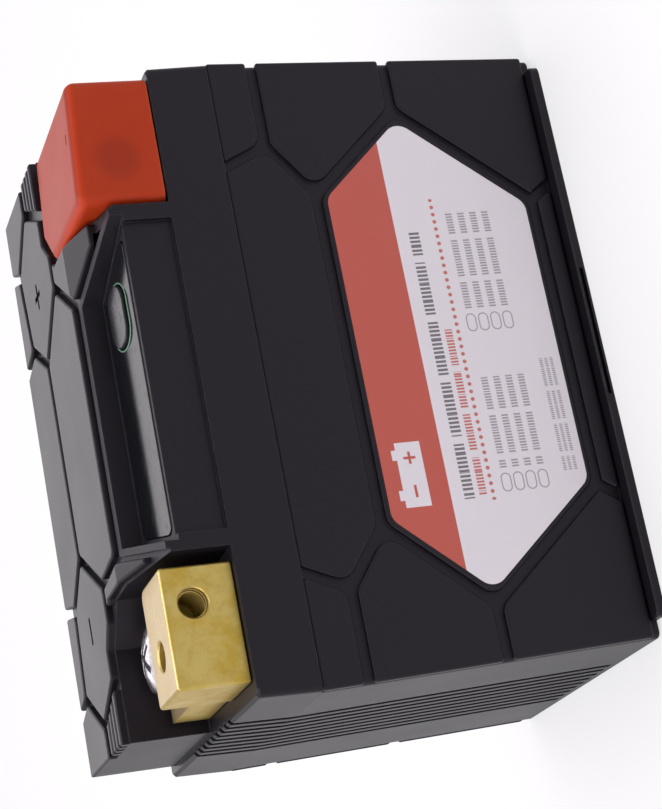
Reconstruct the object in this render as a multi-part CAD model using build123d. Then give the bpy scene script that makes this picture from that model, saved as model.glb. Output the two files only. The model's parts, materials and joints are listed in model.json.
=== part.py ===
"""Sealed four-cell motorcycle battery: drafted box, lid with honeycomb plates, two brass terminal blocks.

Frame of the files: +Z up, origin at the middle of the footprint on the underside, +X towards the
positive terminal and -Y the face that carries the label.  Inside this source Y is measured from the
middle of the body, without the foot ledge.  Millimetres throughout.
"""
from build123d import *
import math
import os

# ---------------------------------------------------------------- overall sizes
WIDTH = 114.0            # over the seam between case and lid
DEPTH = 70.0             # over the foot ledge
HEIGHT = 88.7
FOOT_PROUD = 2.8         # ledge along the front of the base
SEAM_Z = 0.6956 * HEIGHT  # where the lid stands on the case
COLLAR_H = 11.1          # plain band of the lid above the seam
BASE_NARROWER = 1.7      # each side of the case leans in by this much at the base
COLLAR_DRAFT = 0.3       # each side of the collar leans in by this much at its top
LID_INSET_X = 1.5        # upper lid behind the collar, each side
LID_INSET_BACK = 3.4     # upper lid behind the collar, at the back

# ---------------------------------------------------------------- walls and small features
CASE_WALL = 2.4
LID_WALL = 2.2
RELIEF = 1.0             # height of the raised plates on front and back
CHANNEL = 1.8            # width of the channels between plates
PLINTH_H = 1.7           # plain strip under the plates
PLATE_CORNER = 3.0
TOP_PLATE_CORNER = 1.3
WEDGE_CORNER = 0.6
WEDGE_TIP = 6.0          # wedge plates end this far behind the front
OUTER_CORNER = 0.5
PLATE_EDGE = 0.5
CORNER_R = 1.2           # upright corners of case and lid
RIB_COUNT = 8
RIB_PITCH = 3.3
RIB_DEPTH = 0.9
FOOT_X = 52.3            # half the length of the foot ledge
FOOT_H = 1.5
FOOT_CORNER = 1.6
SLOT_LENGTH = 24.0       # latch slot for a height spacer, front and back of the base
SLOT_H = 0.7
SLOT_DEPTH = 1.2
LABEL_MARGIN = 0.4       # film label to the edge of its plate
LABEL_T = 0.15

TONGUE_CLEAR = 0.15      # lid tongue inside the case mouth
TONGUE_T = 1.6
TONGUE_H = 3.0
MOUTH_H = 2.0            # ledge of the lid over the case wall
SEAL_W = 1.2
SEAL_H = 0.6

TOP_RELIEF = 1.5         # height of the raised plates on the lid
ROOF = 1.9               # lid skin under the top channels
FIN_COUNT = 4            # on the lid behind each pocket
FIN_SPREAD = 0.0861      # spacing of the fins, as a share of the lid behind the pockets
FIN_SHARE = 0.577        # share of that spacing that is fin
FIN_EDGE = 0.3
RIM_W = 1.3              # raised edging round the indicator recess
RIM_H = 0.7
RIM_GAP = 0.9
SLOPE_L = 17.3           # the top slopes down towards the front over this length
SLOPE_DROP = 4.2
MARK_ARM = 5.0           # plus and minus signs
MARK_STROKE = 1.1
MARK_DEPTH = 0.5

# ---------------------------------------------------------------- places measured from the body
BODY_DEPTH = DEPTH - FOOT_PROUD
FRONT = -BODY_DEPTH / 2
BACK = BODY_DEPTH / 2
COLLAR_Z = SEAM_Z + COLLAR_H
LID_X = WIDTH / 2 - COLLAR_DRAFT - LID_INSET_X
LID_BACK = BACK - LID_INSET_BACK

# ---------------------------------------------------------------- terminal pockets and blocks
POCKET_X = WIDTH / 2 - 26.1      # inner wall of each pocket, at the front
POCKET_DIAGONAL_X = POCKET_X + 0.7
POCKET_DIAGONAL_Y = FRONT + 26.2
POCKET_BACK_X = POCKET_X + 7.7
POCKET_BACK_Y = FRONT + 33.6
FIN_PITCH = FIN_SPREAD * (LID_BACK - POCKET_BACK_Y)
FIN_W = FIN_SHARE * FIN_PITCH
POCKET_GAP = 0.4         # edge of the lid round a pocket, outside the plates
POCKET_FLOOR_T = 2.5
PAD_H = 0.2              # seat under the brass block
PAD_L = 26.0
PAD_INSET_IN = 5.0       # seat inside the edges of the block
PAD_INSET_OUT = 2.0

BLOCK_X = POCKET_X + 2.2
BLOCK_W = 20.6
BLOCK_FRONT_Y = FRONT + 1.6
BLOCK_TALL_L = 14.6
BLOCK_TALL_H = HEIGHT - COLLAR_Z - 3.6
BLOCK_LOW_H = 6.6
BLOCK_CLEAR = 1.8        # low part of the block to the pocket walls
BLOCK_EDGE = 0.6
BLOCK_CORNER = 2.2       # inner back corner of the tall part
THREAD_R = 2.5           # core radius of an M6 thread
THREAD_MOUTH = 0.3
FRONT_THREAD_X = BLOCK_X + 6.4
FRONT_THREAD_UP = 0.593 * BLOCK_TALL_H   # above the underside of the block
FRONT_THREAD_DEPTH = 11.0
TOP_THREAD_X = BLOCK_X + 13.2
TOP_THREAD_DEPTH = 0.73 * BLOCK_TALL_H

SCREW_X = BLOCK_X + 10.1
SCREW_Y = FRONT + 24.2
SCREW_R = 2.95
SCREW_L = 12.5
SCREW_HEAD_R = 5.8
SCREW_HEAD_H = 3.9
SCREW_HEAD_CROWN = 1.3
WASHER_R = 6.0           # washer pressed on under the head
WASHER_T = 1.2
SCREW_CLEAR = 0.35
CROSS_W = 1.3
CROSS_L = 6.4
CROSS_DEPTH = 1.9
INSERT_R = 4.5
INSERT_H = 7.0
INSERT_FLOOR = 0.8
INSERT_FIT = 0.05
BOSS_T = 2.0

# ---------------------------------------------------------------- protective cap
CAP_CLEAR = 0.3          # cap to pocket walls and floor
CAP_WALL = 1.1
CAP_SIDE_X = WIDTH / 2 - 1.9
CAP_FRONT_Y = FRONT + 0.1
CAP_CORNER = 2.0
CAP_EDGE = 1.9
CAP_FALL = 1.2           # top of the cap falls by this much towards the side
CAP_SLOT_X = WIDTH / 2 - 11.5
CAP_SLOT_Y = FRONT + 4.0
CAP_SLOT_L = 2.2
CAP_SLOT_W = 0.6
CAP_SLOT_DEPTH = 0.7

# ---------------------------------------------------------------- indicator recess, window, button
RECESS_FRONT_X = POCKET_X - 1.8
RECESS_RIGHT_X = POCKET_X - 12.3     # back corner on the positive side
RECESS_LEFT_X = POCKET_X - 5.3       # back corner on the negative side
RECESS_BACK_Y = FRONT + 15.2
LEDGE_Z = HEIGHT - 7.4   # at the front; the ledge rises towards the back
LEDGE_TILT = 8.5         # degrees
LEDGE_T = 2.5
PANEL_X = RECESS_FRONT_X - 1.1       # sunk panel under the ledge
PANEL_DEPTH = 1.0
WINDOW_T = 0.8
WINDOW_SUNK = 0.6
WINDOW_MARGIN = 0.9
WINDOW_FRONT_GAP = 2.0
WINDOW_FIT = 0.1
WINDOW_CORNER = 1.4

BUTTON_L = 11.2
BUTTON_W = 6.8
BUTTON_X = RECESS_RIGHT_X - 5.2
BUTTON_Y = FRONT + 8.2
BUTTON_T = 0.9
BUTTON_GAP = 0.25
BUTTON_TRAVEL = 0.5
BUTTON_FLOOR_GAP = 0.1
STEM_R = 2.0
STEM_CLEAR = 0.3
PLUNGER_R = 1.6
PLUNGER_L = 1.5
PLUNGER_CLEAR = 0.3

# ---------------------------------------------------------------- indicator electronics
BOARD_T = 1.6
INDICATOR_DROP = 2.6     # board below the underside of the ledge
INDICATOR_X = POCKET_X - 5.9
INDICATOR_FRONT_Y = FRONT + 3.5
INDICATOR_BACK_Y = FRONT + 17.1
STANDOFF_R = 2.0
STANDOFF_INSET = 2.6
STANDOFF_FIT = 0.05
BOARD_SCREW_R = 0.95
BOARD_SCREW_HEAD_R = 1.9
BOARD_SCREW_HEAD_H = 1.3
BOARD_SCREW_L = 3.4
BOARD_SCREW_END = 0.3    # bore beyond the end of the screw
BOARD_HOLE_FIT = 0.1
LED_COUNT = 4
LED_PITCH = 0.23 * RECESS_LEFT_X
LED_RIGHT_X = BUTTON_X - 13.3
LED_Y = FRONT + 9.2
LED_L = 3.0
LED_W = 2.6
LED_H = 1.3
GUIDE_R = 1.4
GUIDE_CLEAR = 0.1
SWITCH_SIDE = 6.0
SWITCH_H = 2.3

# ---------------------------------------------------------------- cell stack
CELL_COUNT = 4
CELL_L = WIDTH - 14.0
CELL_T = 8.0
CELL_H = SEAM_Z - 9.7
CELL_CORNER = 2.5
SEAL_FLANGE_L = CELL_L - 8.0
SEAL_FLANGE_T = 1.2
SEAL_FLANGE_H = 3.0
SHEET_T = 0.5            # insulating sheets between cells
WRAP_T = 0.4
WRAP_LOW = 14.0          # above the base of the cells
WRAP_H = 26.0
FOOT_PAD_T = 3.0
TAB_X = 20.0
TAB_W = 12.0
TAB_T = 0.4
TAB_H = 4.3
LINK_T = 1.0
LINK_W = 14.0
LINK_OVER = 3.0
LEAD_W = 6.0
LEAD_END_R = 5.0
LEAD_WALL_GAP = 2.7
BALANCER_X = 30.0
BALANCER_Y = 22.0
RESISTOR = (6.3, 3.2, 0.7)
RESISTOR_X = 22.0
CHIP = (5.0, 4.0, 1.6)
CHIP_X = -7.0
CHIP_Y = 2.0             # middle of the row of chips
CHIP_PITCH = 6.8
CAPACITOR_R = 2.5
CAPACITOR_H = 2.6
CAPACITOR_X = 8.0
CAPACITOR_Y = (-4.0, 8.0)
HEADER_PITCH = 2.54
HEADER_PINS = 4
HEADER_BLOCK_H = 2.5
PIN_W = 0.64
HEADER_Y = FRONT + 15.1

# ---------------------------------------------------------------- worked out from the above
SIDE = (1, -1)                                   # positive side, negative side
CHANNEL_Z = HEIGHT - TOP_RELIEF
FLOOR_Z = COLLAR_Z
BLOCK_Z = FLOOR_Z + PAD_H
POCKET_UNDER = FLOOR_Z - POCKET_FLOOR_T
LEDGE_UNDER = LEDGE_Z - LEDGE_T
WINDOW_Z = LEDGE_Z - WINDOW_SUNK
BUTTON_Z = WINDOW_Z + BUTTON_TRAVEL + BUTTON_FLOOR_GAP
INDICATOR_TOP = LEDGE_UNDER - INDICATOR_DROP
INDICATOR_Z = INDICATOR_TOP - BOARD_T
CAVITY_Y = BODY_DEPTH / 2 - RELIEF - CASE_WALL
LEAD_BACK_Y = CAVITY_Y - LEAD_WALL_GAP
STACK_Z = CASE_WALL + FOOT_PAD_T
CELL_PITCH = CELL_T + SHEET_T
STACK_Y = (CELL_COUNT * CELL_T + (CELL_COUNT - 1) * SHEET_T) / 2
TAB_Z = STACK_Z + CELL_H + SEAL_FLANGE_H
LINK_Z = TAB_Z + TAB_H
BALANCER_Z = LINK_Z + LINK_T
BALANCER_TOP = BALANCER_Z + BOARD_T
INSERT_Z = BALANCER_Z
INSERT_TOP = BLOCK_Z
SLOPE = math.degrees(math.atan(SLOPE_DROP / SLOPE_L))


def half_width(z):
    """Half the width of the case at a height: its sides lean in towards the base."""
    return WIDTH / 2 - BASE_NARROWER * (1 - z / SEAM_Z)


def box(x0, x1, y0, y1, z0, z1):
    """Solid block between two corners."""
    size = (x1 - x0, y1 - y0, z1 - z0)
    return Pos((x0 + x1) / 2, (y0 + y1) / 2, (z0 + z1) / 2) * Box(*size)


def rod(x, y, z0, z1, radius):
    """Upright cylinder."""
    return Pos(x, y, (z0 + z1) / 2) * Cylinder(radius, z1 - z0)


def outline(points):
    """Flat closed outline through the points."""
    return make_face(Polyline(*points, close=True))


def upright(shape, z0, z1):
    """Solid on a flat outline, from one height to another."""
    return extrude(Pos(0, 0, z0) * shape, amount=z1 - z0, dir=(0, 0, 1))


def grow(shape, amount):
    """Outline moved outwards, or inwards with a negative amount, with sharp corners."""
    return offset(shape, amount=amount, kind=Kind.INTERSECTION)


def mirrored(points):
    """The same points on the other side of the middle, in the opposite order."""
    return [(-x, y) for x, y in reversed(points)]


def oblong(x, y, length, width):
    """Flat outline with two round ends."""
    return Pos(x, y) * SlotOverall(length, width)


def rounded(shape, radius, edge_x, low, high, outer_radius=OUTER_CORNER):
    """Outline with soft inner corners and small ones where it meets the outside."""
    def inside(v):
        return abs(v.X) < edge_x - 3 and low + 1 < v.Y < high - 1

    def room(v, size):
        return all(e.length > 2 * size for e in shape.edges() if v in e.vertices())

    inner = [v for v in shape.vertices() if inside(v) and room(v, radius)]
    if inner:
        shape = fillet(inner, radius)
    corners = [v for v in shape.vertices() if not inside(v) and room(v, outer_radius)]
    return fillet(corners, outer_radius) if corners else shape


def soften_top(solid, plane, radius):
    """Round the edges of the face that looks along the plane's normal."""
    top = solid.faces().sort_by(Axis(plane.origin, plane.z_dir))[-1]
    return fillet(top.edges(), radius)


# ---------------------------------------------------------------- case
def face_cells():
    """Outlines of the raised plates on front and back, in width and height."""
    out = CHANNEL / 2
    top = SEAM_Z + out
    low = PLINTH_H - out
    wide, tall = WIDTH / 100, SEAM_Z / 100       # junctions are set out in hundredths
    apex = (40.5 * wide, 46.5 * tall)
    upper = (26.8 * wide, 74.7 * tall)
    lower = (23.8 * wide, 9.0 * tall)
    outer = (35.55 * wide, 86.8 * tall)
    seam = (31.9 * wide, top)
    base = (26.6 * wide, low)

    def side(z):
        return (half_width(z) + out, z)

    centre = [
        [apex, upper] + mirrored([apex, upper]) + mirrored([lower]) + [lower],
        [upper, outer, seam] + mirrored([upper, outer, seam]),
        [lower, base] + mirrored([lower, base]),
    ]
    flank = [
        [outer, side(outer[1]), side(top), seam],
        [apex, side(apex[1]), side(outer[1]), outer, upper],
        [lower, apex, side(apex[1]), side(low), base],
    ]
    return centre, flank


def face_plates(plane):
    """Raised plates on one broad face, with rounded corners and softened edges."""
    centre, flank = face_cells()
    plates = []
    for cell in centre + flank + [mirrored(points) for points in flank]:
        face = grow(outline(cell), -CHANNEL / 2)
        tall = face.bounding_box().size.Y > 4 * OUTER_CORNER + CHANNEL
        radius = PLATE_CORNER if tall else OUTER_CORNER
        face = rounded(face, radius, WIDTH / 2, PLINTH_H, SEAM_Z)
        plates.append(soften_top(extrude(plane * face, amount=RELIEF), plane, PLATE_EDGE))
    return plates


FRONT_PLANE = Plane((0, FRONT + RELIEF, 0), x_dir=(1, 0, 0), z_dir=(0, -1, 0))
BACK_PLANE = Plane((0, BACK - RELIEF, 0), x_dir=(-1, 0, 0), z_dir=(0, 1, 0))


def rib_grooves(z0, z1, x_low, x_high):
    """Grooves that leave the upright ribs standing in the middle of both sides."""
    grooves = []
    for i in range(RIB_COUNT + 1):
        y = (i - RIB_COUNT / 2) * RIB_PITCH
        for s in SIDE:
            profile = Plane((0, y, 0), x_dir=(1, 0, 0), z_dir=(0, -1, 0)) * outline([
                (s * (x_low - RIB_DEPTH), z0), (s * (x_low + 1), z0),
                (s * (x_high + 1), z1), (s * (x_high - RIB_DEPTH), z1)])
            grooves.append(extrude(profile, amount=RIB_PITCH / 4, both=True))
    return grooves


def case():
    """Lower box: drafted sides, plates on both broad faces, ribs on both sides."""
    y = BODY_DEPTH / 2 - RELIEF
    profile = outline([(-half_width(0), 0), (half_width(0), 0), (WIDTH / 2, SEAM_Z), (-WIDTH / 2, SEAM_Z)])
    body = extrude(Plane.XZ * profile, amount=y, both=True)
    body = fillet(body.edges().filter_by(lambda e: abs(e.center().X) > half_width(0) - 1
                                         and abs(e.center().Y) > y - 1 and e.length > SEAM_Z / 2), CORNER_R)
    body = fillet(body.faces().sort_by(Axis.Z)[0].edges(), OUTER_CORNER)
    for plane in (FRONT_PLANE, BACK_PLANE):
        for plate in face_plates(plane):
            body += plate
    w = half_width(0) - CASE_WALL
    cavity = outline([(-w, CASE_WALL), (w, CASE_WALL), (w + BASE_NARROWER, SEAM_Z), (-w - BASE_NARROWER, SEAM_Z)])
    body -= extrude(Plane.XZ * cavity, amount=CAVITY_Y, both=True)
    for groove in rib_grooves(PLINTH_H, SEAM_Z, half_width(PLINTH_H), WIDTH / 2):
        body -= groove
    body += foot_ledge()
    slot_z = FOOT_H / 2
    for face_y, inward in ((FRONT - FOOT_PROUD, 1), (BACK - RELIEF, -1)):
        y0, y1 = sorted((face_y - inward, face_y + inward * SLOT_DEPTH))
        body -= box(-SLOT_LENGTH / 2, SLOT_LENGTH / 2, y0, y1, slot_z - SLOT_H / 2, slot_z + SLOT_H / 2)
    body -= seal_ring(SEAM_Z - SEAL_H, SEAM_Z)
    return body


def foot_ledge():
    """Thin ledge along the front of the base, for the tray's clamp."""
    reach = FOOT_PROUD + RELIEF + OUTER_CORNER
    plan = Pos(0, FRONT - FOOT_PROUD + reach / 2) * Rectangle(2 * min(FOOT_X, half_width(0) - 2), reach)
    plan = fillet(plan.vertices().sort_by(Axis.Y)[:2], FOOT_CORNER)
    ledge = upright(plan, 0, FOOT_H)
    front = ledge.edges().filter_by(lambda e: e.center().Y < FRONT - 1 and e.center().Z > FOOT_H - 0.01)
    return chamfer(front, SLOT_H / 3)


def seal_ring(z0, z1):
    """Rectangular bead that runs round the top of the case wall."""
    x = WIDTH / 2 - CASE_WALL / 2
    y = BODY_DEPTH / 2 - RELIEF - CASE_WALL / 2
    grooves_clear = RIB_DEPTH / 2
    outer = RectangleRounded(2 * (x - grooves_clear) + SEAL_W, 2 * y + SEAL_W, 2)
    inner = RectangleRounded(2 * (x - grooves_clear) - SEAL_W, 2 * y - SEAL_W, 1)
    return upright(outer - inner, z0, z1)


# ---------------------------------------------------------------- lid
def pocket_outline():
    """Footprint of the positive pocket, open to the front and to the side."""
    return outline([
        (POCKET_X, FRONT - 2), (POCKET_DIAGONAL_X, POCKET_DIAGONAL_Y), (POCKET_BACK_X, POCKET_BACK_Y),
        (WIDTH / 2 + 2, POCKET_BACK_Y), (WIDTH / 2 + 2, FRONT - 2)])


def recess_outline():
    """Footprint of the indicator recess, open to the front."""
    return outline([
        (RECESS_FRONT_X, FRONT - 6), (RECESS_FRONT_X, FRONT), (RECESS_RIGHT_X, RECESS_BACK_Y),
        (-RECESS_LEFT_X, RECESS_BACK_Y), (-RECESS_FRONT_X, FRONT), (-RECESS_FRONT_X, FRONT - 6)])


def above(z, tilt, reach=WIDTH):
    """Everything above a plane that meets the front at a height and rises towards the back."""
    return Pos(0, FRONT, z) * Rot(tilt, 0, 0) * Pos(0, 0, reach / 2) * Box(4 * reach, 4 * reach, reach)


def tilted(shape):
    """Lay a flat shape on the tilted ledge."""
    return Pos(0, FRONT, LEDGE_Z) * Rot(LEDGE_TILT, 0, 0) * Pos(0, -FRONT, -LEDGE_Z) * shape


def ledge_rise(y):
    """How much higher the tilted ledge is at y than at the front."""
    return (y - FRONT) * math.tan(math.radians(LEDGE_TILT))


def both_sides(shape):
    """A shape and its mirror image on the negative side."""
    return shape + mirror(shape, about=Plane.YZ)


def top_cells():
    """Outlines of the plates on top of the lid: those repeated on both sides, and the single ones."""
    out = CHANNEL / 2
    side = LID_X + out
    back = LID_BACK + out
    wide, deep = LID_X / 100, (LID_BACK - POCKET_BACK_Y) / 100      # junctions are set out in hundredths

    def place(x, y):
        return (x * wide, POCKET_BACK_Y + y * deep)

    apex = place(89.7, 38.4)
    back_outer = place(75.9, 79.5)
    back_inner = place(46.4, 71.5)
    inner = place(34.2, 35.8)
    front_inner = place(50.7, -15.2)
    front_outer = place(76.6, -15.2)
    edge_outer = (79.7 * wide, back)
    edge_inner = (43.3 * wide, back)
    half = [
        ("plate", [apex, back_outer, back_inner, inner, front_inner, front_outer]),
        ("plate", [apex, (side, apex[1]), (side, back), edge_outer, back_outer]),
        ("plate", [back_outer, edge_outer, edge_inner, back_inner]),
        ("fins", [front_outer, (side, front_outer[1]), (side, apex[1]), apex]),
    ]
    right, left = (RECESS_RIGHT_X, RECESS_BACK_Y), (-RECESS_LEFT_X - RIM_GAP, RECESS_BACK_Y)
    tip = FRONT + WEDGE_TIP
    opposite = mirrored([front_inner])
    single = [
        [inner] + mirrored([inner]) + opposite + [left, right, front_inner],
        [inner, back_inner, edge_inner] + mirrored([inner, back_inner, edge_inner]),
        [front_inner, (side, front_inner[1]), (side, tip), (right[0] + CHANNEL, tip), right],
        opposite + [left, (left[0] - CHANNEL, tip), (-side, tip), (-side, front_inner[1])],
    ]
    return half, single


def top_plate(face):
    """One raised plate of the lid, with softened upper edges; it follows the slope at the front."""
    plate = soften_top(upright(face, CHANNEL_Z - SLOPE_DROP, HEIGHT), Plane.XY, PLATE_EDGE)
    if face.bounding_box().min.Y > FRONT + SLOPE_L - 0.1:
        return plate
    cut = upright(face, CHANNEL_Z - SLOPE_DROP, HEIGHT + SLOPE_DROP) - above(HEIGHT - SLOPE_DROP, SLOPE)
    slope = cut.faces().filter_by(lambda f: 0.9 < f.normal_at().Z < 0.9999)
    return plate & fillet(slope.edges(), PLATE_EDGE)


def top_plates():
    """All the plates and fins that stand on the lid."""
    half, single = top_cells()
    keep_off = both_sides(grow(pocket_outline(), POCKET_GAP)) + grow(recess_outline(), RIM_W + RIM_GAP)
    inside = Rectangle(2 * LID_X, 2 * LID_BACK)
    plates = []
    for kind, points in half:
        face = grow(outline(points), -CHANNEL / 2) & inside
        if kind == "fins":
            for i in range(FIN_COUNT):
                band = Pos(WIDTH / 2, POCKET_BACK_Y + (i + 0.5) * FIN_PITCH) * Rectangle(WIDTH, FIN_W)
                fin = upright((face & band).face(), CHANNEL_Z, HEIGHT)
                plates.append(chamfer(fin.faces().sort_by(Axis.Z)[-1].edges(), FIN_EDGE))
            continue
        face = rounded((face - keep_off).face(), TOP_PLATE_CORNER, LID_X, -BACK, LID_BACK)
        plates.append(top_plate(face))
    plates += [mirror(plate, about=Plane.YZ) for plate in plates]
    for points in single:
        face = ((grow(outline(points), -CHANNEL / 2) & inside) - keep_off).face()
        radius = TOP_PLATE_CORNER if len(points) > 5 else WEDGE_CORNER
        plates.append(top_plate(rounded(face, radius, LID_X, -BACK, LID_BACK)))
    return plates


def polarity_marks():
    """Plus and minus signs sunk into the two hexagonal plates."""
    x = 0.587 * LID_X
    y = POCKET_BACK_Y + 0.338 * (LID_BACK - POCKET_BACK_Y)
    bar = Rectangle(MARK_ARM, MARK_STROKE)
    plus = Pos(x, y) * (bar + Rectangle(MARK_STROKE, MARK_ARM))
    minus = Pos(-x, y) * bar
    return upright(plus + minus, HEIGHT - MARK_DEPTH, HEIGHT + 1)


def window_outline(fit=0.0):
    """Footprint of the indicator window on the ledge."""
    behind = Pos(0, FRONT + WINDOW_FRONT_GAP + BODY_DEPTH / 2) * Rectangle(WIDTH, BODY_DEPTH)
    shape = (grow(recess_outline(), -WINDOW_MARGIN) & behind).face()
    if fit:
        shape = grow(shape, fit)
    return fillet(shape.vertices(), WINDOW_CORNER)


def standoffs():
    """Places of the four screws that hold the indicator board."""
    xs = (INDICATOR_X - STANDOFF_INSET, -INDICATOR_X + STANDOFF_INSET)
    ys = (INDICATOR_FRONT_Y + STANDOFF_INSET, INDICATOR_BACK_Y - STANDOFF_INSET)
    return [(x, y) for x in xs for y in ys]


def lid():
    """Upper shell: collar, pockets, indicator recess, top plates, tongue and bosses."""
    x_top = WIDTH / 2 - COLLAR_DRAFT
    profile = outline([(-WIDTH / 2, SEAM_Z), (WIDTH / 2, SEAM_Z), (x_top, COLLAR_Z), (-x_top, COLLAR_Z)])
    body = extrude(Plane.XZ * profile, amount=BODY_DEPTH / 2, both=True)
    body = fillet(body.edges().filter_by(lambda e: abs(abs(e.center().Y) - BACK) < 0.1
                                         and abs(e.center().X) > LID_X), CORNER_R)
    body = chamfer(body.faces().sort_by(Axis.Z)[-1].edges(), PLATE_EDGE)
    for groove in rib_grooves(SEAM_Z, COLLAR_Z, WIDTH / 2, x_top):
        body -= groove
    upper = Pos(0, (FRONT + LID_BACK) / 2) * Rectangle(2 * LID_X, LID_BACK - FRONT)
    upper = fillet(upper.vertices().sort_by(Axis.Y)[2:], CORNER_R)
    body += upright(upper, COLLAR_Z - CORNER_R, CHANNEL_Z) - above(CHANNEL_Z - SLOPE_DROP, SLOPE)
    for plate in top_plates():
        body += plate & upright(upper, SEAM_Z, HEIGHT)
    rim = (grow(recess_outline(), RIM_W) - recess_outline()) & upper
    body += upright(rim, LEDGE_Z - RIM_W, CHANNEL_Z + RIM_H) - above(CHANNEL_Z + RIM_H - SLOPE_DROP, SLOPE)
    body -= polarity_marks()
    body -= upright(both_sides(pocket_outline()), FLOOR_Z, HEIGHT + 1)
    body -= upright(recess_outline(), SEAM_Z, HEIGHT + 1) & above(LEDGE_Z, LEDGE_TILT)
    body -= box(-PANEL_X, PANEL_X, FRONT - 1, FRONT + PANEL_DEPTH, FLOOR_Z, HEIGHT)
    body += lid_tongue()
    body -= lid_cavity()
    for s in SIDE:
        pad_x = sorted((s * (BLOCK_X + PAD_INSET_IN), s * (BLOCK_X + BLOCK_W - PAD_INSET_OUT)))
        pad_y = (BLOCK_FRONT_Y + POCKET_BACK_Y - BLOCK_CLEAR) / 2
        body += box(*pad_x, pad_y - PAD_L / 2, pad_y + PAD_L / 2, FLOOR_Z - 0.5, BLOCK_Z)
        body += rod(s * SCREW_X, SCREW_Y, INSERT_Z + 0.5, FLOOR_Z - 0.5, INSERT_R + BOSS_T)
        body -= rod(s * SCREW_X, SCREW_Y, INSERT_Z - 1, BLOCK_Z + 1, INSERT_R + INSERT_FIT)
    bore_end = INDICATOR_TOP + BOARD_SCREW_L - BOARD_T + BOARD_SCREW_END
    for x, y in standoffs():
        body += rod(x, y, INDICATOR_TOP, LEDGE_UNDER + 0.5, STANDOFF_R)
        body -= rod(x, y, INDICATOR_TOP - 1, bore_end, BOARD_SCREW_R + STANDOFF_FIT)
    body -= tilted(upright(window_outline(WINDOW_FIT), WINDOW_Z, LEDGE_Z + 1))
    for x in led_places():
        body -= rod(x, LED_Y, LEDGE_UNDER - 1, LEDGE_Z + ledge_rise(LED_Y), GUIDE_R + GUIDE_CLEAR)
    body -= rod(BUTTON_X, BUTTON_Y, LEDGE_UNDER - 1, LEDGE_Z + ledge_rise(BUTTON_Y), STEM_R + STEM_CLEAR)
    return body


def tongue_half_sizes():
    """Outer half sizes of the tongue that stands inside the case mouth."""
    x = half_width(SEAM_Z - TONGUE_H) - CASE_WALL - TONGUE_CLEAR
    return x, CAVITY_Y - TONGUE_CLEAR


def lid_tongue():
    """Ring that locates the lid in the case, with the ledge that carries it."""
    x, y = tongue_half_sizes()
    ring = Rectangle(2 * x, 2 * y) - Rectangle(2 * (x - TONGUE_T), 2 * (y - TONGUE_T))
    return upright(ring, SEAM_Z - TONGUE_H, SEAM_Z + 0.5)


def lid_cavity():
    """Hollow inside of the lid, stepped round the pockets and the recess."""
    x, y = tongue_half_sizes()
    mouth = box(-x + TONGUE_T, x - TONGUE_T, -y + TONGUE_T, y - TONGUE_T, SEAM_Z - TONGUE_H, SEAM_Z + MOUTH_H)
    collar_x = WIDTH / 2 - COLLAR_DRAFT - RIB_DEPTH - LID_WALL
    collar_y = BODY_DEPTH / 2 - LID_WALL
    collar = box(-collar_x, collar_x, -collar_y, collar_y, SEAM_Z + MOUTH_H, POCKET_UNDER)
    inner_back = LID_BACK - LID_WALL
    inner_front = FRONT + PANEL_DEPTH + LID_WALL
    plan = Pos(0, (inner_front + inner_back) / 2) * Rectangle(2 * (LID_X - LID_WALL), inner_back - inner_front)
    low = plan - both_sides(grow(pocket_outline(), LID_WALL))
    high = low - grow(recess_outline(), LID_WALL)
    hollow = mouth + collar + upright(low, POCKET_UNDER, LEDGE_UNDER)
    return hollow + upright(high, LEDGE_UNDER, CHANNEL_Z - ROOF)


# ---------------------------------------------------------------- label, window and button
def front_label():
    """Film label stuck on the middle plate of the front."""
    centre, _ = face_cells()
    face = fillet(grow(outline(centre[0]), -CHANNEL / 2 - PLATE_EDGE - LABEL_MARGIN).vertices(), PLATE_CORNER)
    plane = Plane((0, FRONT, 0), x_dir=(1, 0, 0), z_dir=(0, -1, 0))
    return extrude(plane * face, amount=-LABEL_T)


def indicator_window():
    """Dark glossy window over the charge lights, with the opening for the button."""
    hole = oblong(BUTTON_X, BUTTON_Y, BUTTON_L + 2 * BUTTON_GAP, BUTTON_W + 2 * BUTTON_GAP)
    plate = soften_top(upright(window_outline(), WINDOW_Z, WINDOW_Z + WINDOW_T), Plane.XY, WINDOW_T / 4)
    return tilted(plate - upright(hole, WINDOW_Z - 1, WINDOW_Z + WINDOW_T + 1))


def test_button():
    """Oval push button with the stem that reaches the switch."""
    head = upright(oblong(BUTTON_X, BUTTON_Y, BUTTON_L, BUTTON_W), BUTTON_Z, BUTTON_Z + BUTTON_T)
    head = tilted(soften_top(head, Plane.XY, BUTTON_T / 3))
    stem_top = BUTTON_Z + BUTTON_T / 2 + ledge_rise(BUTTON_Y)
    return head + rod(BUTTON_X, BUTTON_Y, plunger_top(), stem_top, STEM_R)


def plunger_top():
    """Height at which the stem meets the switch plunger."""
    return INDICATOR_TOP + SWITCH_H - PLUNGER_L / 3 + PLUNGER_L


def switch_plunger():
    """Short plunger under the stem, inside the switch."""
    return rod(BUTTON_X, BUTTON_Y, plunger_top() - PLUNGER_L, plunger_top(), PLUNGER_R)


def test_switch():
    """Square tactile switch on the indicator board, open on top for its plunger."""
    s = SWITCH_SIDE / 2
    body = box(BUTTON_X - s, BUTTON_X + s, BUTTON_Y - s, BUTTON_Y + s, INDICATOR_TOP, INDICATOR_TOP + SWITCH_H)
    bore_low = plunger_top() - PLUNGER_L - BUTTON_TRAVEL - PLUNGER_CLEAR
    return body - rod(BUTTON_X, BUTTON_Y, bore_low, LEDGE_UNDER + 1, PLUNGER_R + PLUNGER_CLEAR)


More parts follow.
